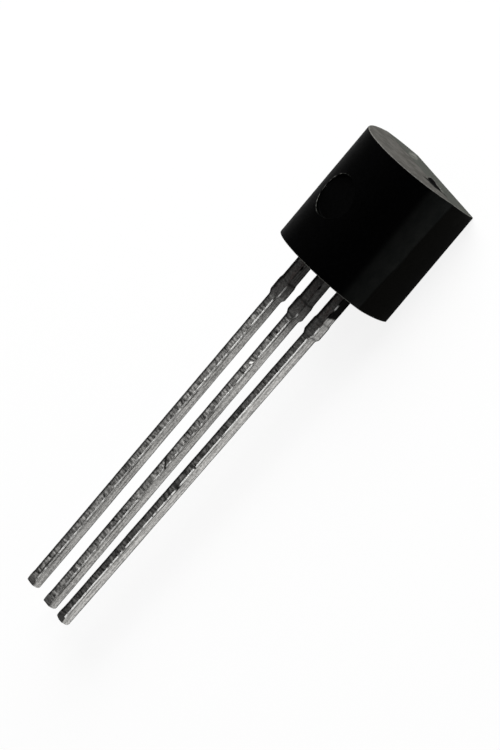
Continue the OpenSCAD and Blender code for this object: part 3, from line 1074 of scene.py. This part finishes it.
def floor_material():
    """Matt white that the camera sees mostly by its own glow, so that little of the shadow shows."""
    m = Shader("white_floor")
    m.surface.inputs["Base Color"].default_value = FLOOR_WHITE
    m.surface.inputs["Roughness"].default_value = 1.0
    m.surface.inputs["Specular IOR Level"].default_value = 0.0
    glow = m.nodes.new("ShaderNodeEmission")
    glow.inputs["Strength"].default_value = 1.0
    path = m.nodes.new("ShaderNodeLightPath")
    share = 0.0
    for ray, weight in FLOOR_GLOW.items():
        share = m.plus(m.times(path.outputs[ray], weight), share)
    blend = m.nodes.new("ShaderNodeMixShader")
    m.links.new(share, blend.inputs[0])
    m.links.new(m.surface.outputs[0], blend.inputs[1])
    m.links.new(glow.outputs[0], blend.inputs[2])
    m.links.new(blend.outputs[0], m.nodes["Material Output"].inputs["Surface"])
    return m.material


def add_floor():
    """A white floor that keeps a soft shadow."""
    low, high = -FLOOR_HALF * MM, FLOOR_HALF * MM
    corners = [(low, low, 0), (high, low, 0), (high, high, 0), (low, high, 0)]
    mesh = bpy.data.meshes.new("floor")
    mesh.from_pydata(corners, [], [(0, 1, 2, 3)])
    floor = bpy.data.objects.new("floor", mesh)
    bpy.context.scene.collection.objects.link(floor)
    floor.data.materials.append(floor_material())


def add_world():
    """A dim studio with a white horizon."""
    world = bpy.data.worlds.new("studio")
    world.use_nodes = True
    nodes, links = world.node_tree.nodes, world.node_tree.links
    background = nodes["Background"]
    where = nodes.new("ShaderNodeTexCoord").outputs["Generated"]
    split = nodes.new("ShaderNodeSeparateXYZ")
    links.new(where, split.inputs[0])
    level = nodes.new("ShaderNodeMapRange")
    level.interpolation_type = "SMOOTHSTEP"
    level.inputs["From Min"].default_value = SKY_FADE[0]
    level.inputs["From Max"].default_value = SKY_FADE[1]
    level.inputs["To Min"].default_value = HORIZON_LIGHT
    level.inputs["To Max"].default_value = SKY_LIGHT
    links.new(split.outputs[2], level.inputs["Value"])
    links.new(level.outputs["Result"], background.inputs["Strength"])
    background.inputs["Color"].default_value = (1, 1, 1, 1)
    bpy.context.scene.world = world


# ---- The object ----------------------------------------------------------

body = add_piece("body", build_body(), "moulded_body")
body.data.materials.append(moulding_material())

leads = (
    Lead("emitter_lead", -PITCH, lean=0.38, seed=1, longer=0.02, dull=0.13, side=0.50, shine=1.7,
         broken=0.02, neck=(0.5, 0.7), facet=0.10, cut=(0.05, 0.06), shadowed_neck=True,
         nicks=(Nick(8.47, 0.12, -1.0, -0.3, 0.65, 0.0, tone=0.03),
                Nick(7.6, 0.05, -1.0, -0.5, 0.7, 0.0, tone=0.08))),
    Lead("base_lead", 0.0, lean=0.09, seed=2, longer=0.015, dull=0.31, side=0.45, shine=0.8,
         broken=0.34, neck=(0.15, 0.13), facet=0.17, cut=(0.0, 0.07), shadowed_neck=False,
         nicks=(Nick(8.22, 0.07, -1.0, 0.9, 0.8, -0.17, tone=0.02),
                Nick(3.92, 0.04, -0.8, -0.1, 0.8, 0.12, tone=1.0),
                Nick(0.48, 0.08, -1.0, -0.9, 0.72, 0.0, tone=0.05))),
    Lead("collector_lead", PITCH, lean=0.09, seed=3, longer=0.0, dull=0.32, side=0.41, shine=0.8,
         broken=0.30, neck=(0.15, 0.13), facet=0.17, cut=(0.015, 0.055), shadowed_neck=False,
         nicks=(Nick(5.41, 0.04, -0.95, -0.6, 0.8, 0.0, tone=1.0),
                Nick(0.52, 0.08, -1.0, -0.9, 0.66, 0.0, tone=0.03),
                Nick(13.55, 0.55, -0.78, -0.45, 0.8, 0.0, tone=0.06))),
)
tin_plate = lead_material()
for lead in leads:
    piece = add_piece(lead.node + "_finish", build_lead(lead), lead.node)
    piece.data.materials.append(tin_plate)

silicon = inner_material("silicon", ((0.16, 0.18, 0.23, 1), (0.22, 0.24, 0.30, 1)),
                         metallic=0.6, roughness=(0.12, 0.25), scales=(8, 20))
gold = inner_material("gold_wire", ((0.80, 0.55, 0.18, 1), (0.90, 0.68, 0.28, 1)),
                      metallic=1.0, roughness=(0.18, 0.32), scales=(20, 40))
for node, material in (("die", silicon), ("base_wire", gold), ("emitter_wire", gold)):
    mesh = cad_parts[node].data
    mesh.materials.clear()
    mesh.materials.append(material)

add_camera()
add_floor()
add_world()
add_softbox("key", (0.62, 0.40, 0.67), distance=180, width=200, height=200, radiance=4.85)

scene = bpy.context.scene
scene.view_settings.view_transform = "Standard"
